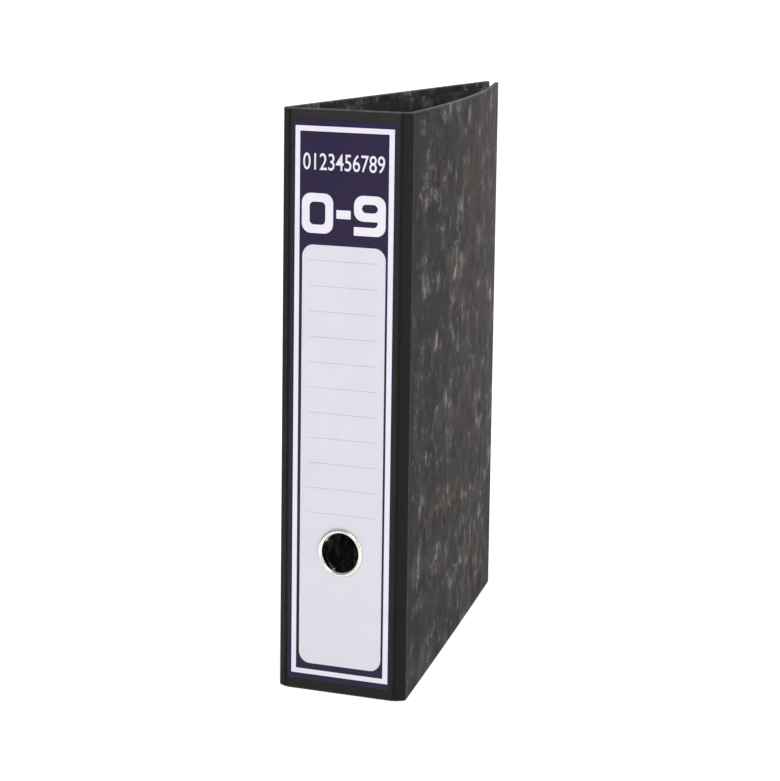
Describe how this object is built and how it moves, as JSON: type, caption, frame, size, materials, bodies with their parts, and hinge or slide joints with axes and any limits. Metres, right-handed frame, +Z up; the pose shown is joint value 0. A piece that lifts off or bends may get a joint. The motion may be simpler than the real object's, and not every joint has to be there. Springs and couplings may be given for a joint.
{
  "type": "lever arch file",
  "caption": "Upright lever arch file with hinged board covers, a finger ring and label on the spine, and a lever-operated arch mechanism on posts inside the back cover.",
  "frame": {"origin": "middle of the spine board's bottom face, on the surface the file stands on", "axes": "+Z up along the spine, +X towards the front cover's side, +Y from the spine to the fore edge"},
  "size_m": [0.0765, 0.2869, 0.318],
  "materials": {
    "grey_board": "solid grey board, cut edges",
    "black_covering": "smooth black coated paper, low sheen",
    "marbled_paper": "black and grey cloud marbled paper, matt",
    "lining_paper": "black and grey cloud marbled lining paper, matt",
    "label_print": "printed self-adhesive paper, navy and pale lavender, matt",
    "ring_nickel": "nickel plated, bright",
    "nickel_plate": "nickel plated pressed steel",
    "bright_wire": "bright nickel plated steel wire",
    "black_plastic": "black moulded plastic"
  },
  "bodies": {
    "spine": {"spine_board": "grey_board", "spine_cloth": "black_covering", "spine_lining": "lining_paper", "spine_label": "label_print", "finger_ring": "ring_nickel", "finger_ring_washer": "ring_nickel"},
    "front_strip": {"front_hinge_strip": "grey_board", "front_strip_cloth": "black_covering", "front_strip_lining": "lining_paper"},
    "back_strip": {"back_hinge_strip": "grey_board", "back_strip_cloth": "black_covering", "back_strip_lining": "lining_paper"},
    "front_cover": {"front_cover_board": "grey_board", "front_cover_paper": "marbled_paper", "front_cover_lining": "lining_paper"},
    "back_cover": {"back_cover_board": "grey_board", "back_cover_paper": "marbled_paper", "back_cover_lining": "lining_paper", "base_plate": "nickel_plate", "mechanism_rivets": "nickel_plate", "lower_post": "bright_wire", "upper_post": "bright_wire", "lower_arch_saddle": "nickel_plate", "upper_arch_saddle": "nickel_plate", "lever_bracket": "nickel_plate", "lever_pin": "nickel_plate", "leaf_spring": "nickel_plate"},
    "arch": {"arch_wire": "bright_wire"},
    "lever": {"lever": "nickel_plate", "roller_pin": "nickel_plate"},
    "roller": {"roller": "bright_wire"},
    "paper_clamp": {"paper_clamp": "black_plastic"}
  },
  "joints": [
    {"name": "front_strip_crease", "type": "hinge", "parent": "spine", "child": "front_strip", "pos_m": [0.03245, -0.0006, 0], "axis": [0, 0, -1], "range_deg": [0, 38]},
    {"name": "front_cover_crease", "type": "hinge", "parent": "front_strip", "child": "front_cover", "pos_m": [0.0371, 0.00303, 0], "axis": [0, 0, -1], "range_deg": [0, 65.3]},
    {"name": "back_strip_crease", "type": "hinge", "parent": "spine", "child": "back_strip", "pos_m": [-0.03245, -0.0006, 0], "axis": [0, 0, 1], "range_deg": [0, 33]},
    {"name": "back_cover_crease", "type": "hinge", "parent": "back_strip", "child": "back_cover", "pos_m": [-0.0374, 0.00261, 0], "axis": [0, 0, 1], "range_deg": [0, 57]},
    {"name": "lever_pivot", "type": "hinge", "parent": "back_cover", "child": "lever", "pos_m": [-0.01859, 0.045, 0.159], "axis": [0, 0, 1], "range_deg": [0, 70]},
    {"name": "arch_hinge", "type": "hinge", "parent": "back_cover", "child": "arch", "pos_m": [-0.03155, 0.029, 0.159], "axis": [0, 0, -1], "range_deg": [0, 31.5], "deforming": ["leaf_spring"]},
    {"name": "roller_spin", "type": "hinge", "parent": "lever", "child": "roller", "pos_m": [-0.02508, 0.04238, 0.159], "axis": [0, 0, 1], "continuous": true},
    {"name": "clamp_slide", "type": "slide", "parent": "back_cover", "child": "paper_clamp", "axis": [1, 0, 0], "range_m": [0, 0.018]}
  ],
  "couplings": [
    {"joint": "front_strip_crease", "follows": "front_cover_crease", "ratio": 0.58191},
    {"joint": "back_strip_crease", "follows": "back_cover_crease", "ratio": 0.57895},
    {"joint": "arch_hinge", "follows": "lever_pivot", "ratio": 0.45}
  ]
}
